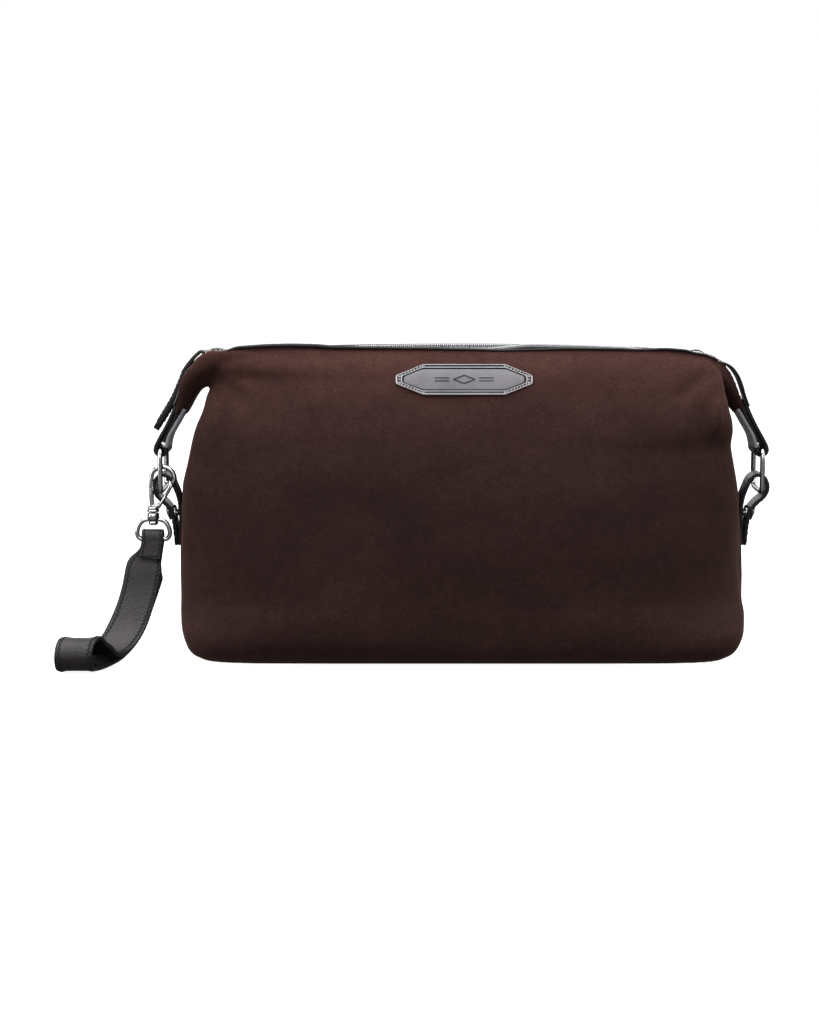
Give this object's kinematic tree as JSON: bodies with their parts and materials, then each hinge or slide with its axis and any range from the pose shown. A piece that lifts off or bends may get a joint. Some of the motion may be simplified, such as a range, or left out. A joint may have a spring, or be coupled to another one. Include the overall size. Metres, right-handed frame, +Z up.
{
  "type": "wash bag",
  "caption": "Suede wash bag with a zip top, folded-down ears held by snap tabs on wire links, and a leather wrist strap on a swivel clip.",
  "frame": {"origin": "middle of the base panel's flat underside", "axes": "+Z up, +X towards the bag's right end seen from the front, front (patch side) towards -Y"},
  "size_m": [0.3428, 0.1274, 0.1512],
  "materials": {
    "suede": "napped dark brown suede",
    "trim_leather": "black grained leather, satin",
    "strap_leather": "black pebbled leather, satin, painted edges",
    "patch_leather": "grey glazed leather, embossed border",
    "lining": "plain woven cotton",
    "stiffener": "pressed leather board",
    "zip_tape": "black woven tape",
    "zip_metal": "polished nickel",
    "nickel": "polished nickel"
  },
  "bodies": {
    "bag": {"front_panel": "suede", "back_panel": "suede", "base_panel": "suede", "base_board": "stiffener", "lining": "lining", "left_side_seam": "trim_leather", "right_side_seam": "trim_leather", "front_teeth": "zip_metal", "back_teeth": "zip_metal", "front_zip_tape": "zip_tape", "back_zip_tape": "zip_tape", "front_zip_border": "trim_leather", "back_zip_border": "trim_leather", "front_binding": "trim_leather", "back_binding": "trim_leather", "left_zip_stop": "zip_metal", "right_zip_stop": "zip_metal", "left_ear": "suede", "right_ear": "suede", "left_end_tab": "trim_leather", "right_end_tab": "trim_leather", "left_snap_strap": "trim_leather", "right_snap_strap": "trim_leather", "left_snap_stud": "nickel", "right_snap_stud": "nickel", "patch": "patch_leather"},
    "slider": {"zip_slider": "zip_metal"},
    "pull": {"zip_pull": "zip_metal", "zip_puller": "trim_leather"},
    "left_link": {"left_link": "nickel"},
    "right_link": {"right_link": "nickel"},
    "left_snap": {"left_snap_flap": "trim_leather", "left_snap_cap": "nickel", "left_snap_socket": "nickel"},
    "right_snap": {"right_snap_flap": "trim_leather", "right_snap_cap": "nickel", "right_snap_socket": "nickel"},
    "hook": {"hook_body": "nickel", "gate_pin": "nickel", "swivel_pin": "nickel"},
    "gate": {"hook_gate": "nickel"},
    "swivel": {"swivel_ring": "nickel"},
    "strap": {"strap_chape": "strap_leather", "wrist_strap": "strap_leather"}
  },
  "joints": [
    {"name": "zip_run", "type": "hinge", "parent": "bag", "child": "slider", "pos_m": [0, 0, -1.6795], "axis": [0, 1, 0], "range_deg": [0, 7.45], "deforming": ["zip_puller"]},
    {"name": "pull_swing", "type": "hinge", "parent": "slider", "child": "pull", "pos_m": [-0.11904, 0, 0.14853], "axis": [0, 1, 0], "range_deg": [0, 178]},
    {"name": "left_link_swing", "type": "hinge", "parent": "bag", "child": "left_link", "pos_m": [-0.146, 0, 0.1], "axis": [0, 1, 0], "range_deg": [-0.6, 4]},
    {"name": "right_link_swing", "type": "hinge", "parent": "bag", "child": "right_link", "pos_m": [0.146, 0, 0.1], "axis": [0, -1, 0], "range_deg": [-5, 4]},
    {"name": "left_snap_open", "type": "hinge", "parent": "bag", "child": "left_snap", "pos_m": [-0.1456, 0, 0.0869], "axis": [0, 1, 0], "range_deg": [0, 100]},
    {"name": "right_snap_open", "type": "hinge", "parent": "bag", "child": "right_snap", "pos_m": [0.1456, 0, 0.0869], "axis": [0, -1, 0], "range_deg": [0, 100]},
    {"name": "hook_swing", "type": "hinge", "parent": "left_link", "child": "hook", "pos_m": [-0.146, -0.0114, 0.0798], "axis": [0, 1, 0], "range_deg": [0, 18]},
    {"name": "gate_open", "type": "hinge", "parent": "hook", "child": "gate", "pos_m": [-0.1463, -0.0114, 0.0742], "axis": [0, -1, 0], "range_deg": [0, 6], "stiffness_Nm_per_rad": 0.002, "springref_deg": -11.46},
    {"name": "swivel_turn", "type": "hinge", "parent": "hook", "child": "swivel", "pos_m": [-0.15, -0.0114, 0.0675], "axis": [0, 0, -1], "range_deg": [-5, 80]},
    {"name": "strap_swing", "type": "hinge", "parent": "swivel", "child": "strap", "pos_m": [-0.15, -0.0114, 0.0566], "axis": [-1, 0, 0], "range_deg": [0, 60]}
  ]
}
